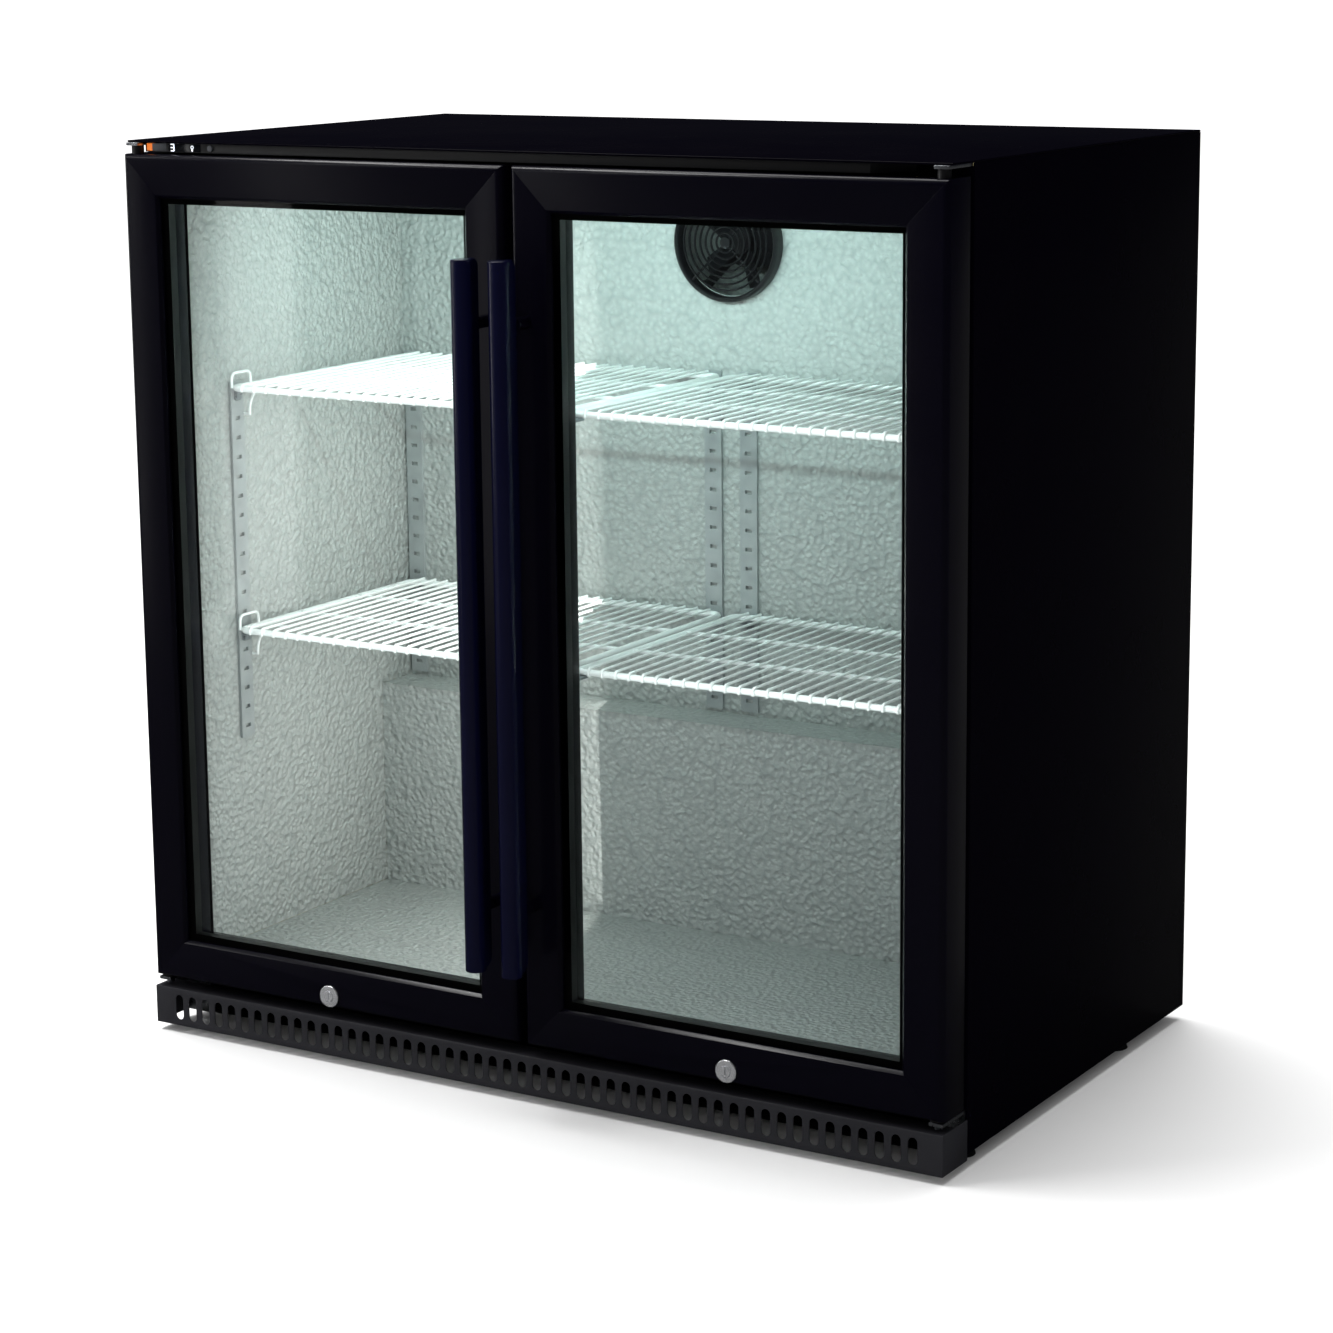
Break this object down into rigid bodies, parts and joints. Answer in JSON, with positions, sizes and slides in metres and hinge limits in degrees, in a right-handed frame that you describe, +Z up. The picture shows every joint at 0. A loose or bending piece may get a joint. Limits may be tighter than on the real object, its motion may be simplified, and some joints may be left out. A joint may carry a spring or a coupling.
{
  "type": "undercounter refrigerator",
  "caption": "Black undercounter bar fridge with hinged glass doors, full-length bar handles, key locks, slotted kick grille and white wire shelves over a rear machine compartment.",
  "frame": {"origin": "on the floor, under the middle of the whole object including its handles", "axes": "+X to the right as seen from the front, +Y from the doors to the back, +Z up"},
  "size_m": [0.9, 0.605, 0.907],
  "materials": {
    "cabinet_paint": "semi-gloss black powder coat",
    "door_paint": "gloss black powder coat on aluminium",
    "grille_paint": "satin dark grey powder coat",
    "zinc_plate": "bright zinc plate",
    "foam": "matte polyurethane foam",
    "stucco_liner": "stucco embossed",
    "strip_aluminium": "mill finish",
    "black_plastic": "satin moulded",
    "display_plastic": "gloss smoked window",
    "orange_plastic": "gloss translucent",
    "grey_plastic": "satin moulded",
    "white_diffuser": "frosted",
    "white_coated_wire": "semi-gloss dip coating over steel wire",
    "motor_paint": "satin black enamel",
    "fin_aluminium": "mill finish",
    "copper_tube": "drawn copper tube",
    "door_glass": "clear double glazing",
    "seal_rubber": "matte",
    "lock_chrome": "polished"
  },
  "bodies": {
    "cabinet": {"side_panel_left": "cabinet_paint", "side_panel_right": "cabinet_paint", "top_panel": "cabinet_paint", "back_panel": "cabinet_paint", "rear_cover": "cabinet_paint", "base_pan": "cabinet_paint", "insulation_foam": "foam", "liner_sides": "stucco_liner", "liner_ceiling": "stucco_liner", "liner_floor": "stucco_liner", "rear_liner": "stucco_liner", "duct_cover": "stucco_liner", "mullion": "cabinet_paint", "front_rails": "cabinet_paint", "kick_grille": "grille_paint", "control_fascia": "black_plastic", "display_window": "display_plastic", "hinge_brackets": "zinc_plate", "led_bar": "strip_aluminium", "led_diffuser": "white_diffuser", "pilasters": "strip_aluminium", "shelf_clips": "zinc_plate", "shelves_upper": "white_coated_wire", "shelves_lower": "white_coated_wire", "fan_guard": "black_plastic", "evap_fan_motor": "motor_paint", "evaporator_coil": "fin_aluminium", "compressor": "motor_paint", "condenser_coil": "fin_aluminium", "fan_shroud": "motor_paint", "condenser_fan_motor": "motor_paint", "refrigerant_pipes": "copper_tube", "drip_tray": "grey_plastic", "levelling_feet": "black_plastic", "cable_gland": "seal_rubber", "cabinet_screws": "zinc_plate"},
    "evap_fan": {"evap_fan_blade": "black_plastic"},
    "condenser_fan": {"condenser_fan_blade": "fin_aluminium"},
    "light_rocker": {"light_switch": "orange_plastic"},
    "setting_key": {"set_key": "grey_plastic"},
    "left_door": {"frame_stiles_left": "door_paint", "frame_rails_left": "door_paint", "glass_panes_left": "door_glass", "glass_spacer_left": "black_plastic", "door_seal_left": "seal_rubber", "handle_bar_left": "door_paint", "handle_posts_left": "door_paint", "hinge_bushes_left": "black_plastic", "lock_housing_left": "lock_chrome"},
    "left_lock": {"lock_plug_left": "lock_chrome"},
    "right_door": {"frame_stiles_right": "door_paint", "frame_rails_right": "door_paint", "glass_panes_right": "door_glass", "glass_spacer_right": "black_plastic", "door_seal_right": "seal_rubber", "handle_bar_right": "door_paint", "handle_posts_right": "door_paint", "hinge_bushes_right": "black_plastic", "lock_housing_right": "lock_chrome"},
    "right_lock": {"lock_plug_right": "lock_chrome"}
  },
  "joints": [
    {"name": "left_door_hinge", "type": "hinge", "parent": "cabinet", "child": "left_door", "pos_m": [-0.44, -0.2375, 0.058], "axis": [0, 0, -1], "range_deg": [0, 110]},
    {"name": "right_door_hinge", "type": "hinge", "parent": "cabinet", "child": "right_door", "pos_m": [0.44, -0.2375, 0.058], "axis": [0, 0, 1], "range_deg": [0, 110]},
    {"name": "left_lock_turn", "type": "hinge", "parent": "left_door", "child": "left_lock", "pos_m": [-0.2275, -0.2495, 0.07], "axis": [0, 1, 0], "range_deg": [0, 90]},
    {"name": "right_lock_turn", "type": "hinge", "parent": "right_door", "child": "right_lock", "pos_m": [0.2275, -0.2495, 0.07], "axis": [0, -1, 0], "range_deg": [0, 90]},
    {"name": "evap_fan_spin", "type": "hinge", "parent": "cabinet", "child": "evap_fan", "pos_m": [0, 0.1765, 0.792], "axis": [0, 1, 0], "continuous": true},
    {"name": "condenser_fan_spin", "type": "hinge", "parent": "cabinet", "child": "condenser_fan", "pos_m": [0.191, 0.2005, 0.1272], "axis": [0, 1, 0], "continuous": true},
    {"name": "light_switch_rock", "type": "hinge", "parent": "cabinet", "child": "light_rocker", "pos_m": [-0.4185, -0.2332, 0.9005], "axis": [0, 0, -1], "range_deg": [0, 10]},
    {"name": "set_key_press", "type": "slide", "parent": "cabinet", "child": "setting_key", "axis": [0, 1, 0], "range_m": [0, 0.001], "stiffness_N_per_m": 300, "springref_m": -0.001}
  ]
}
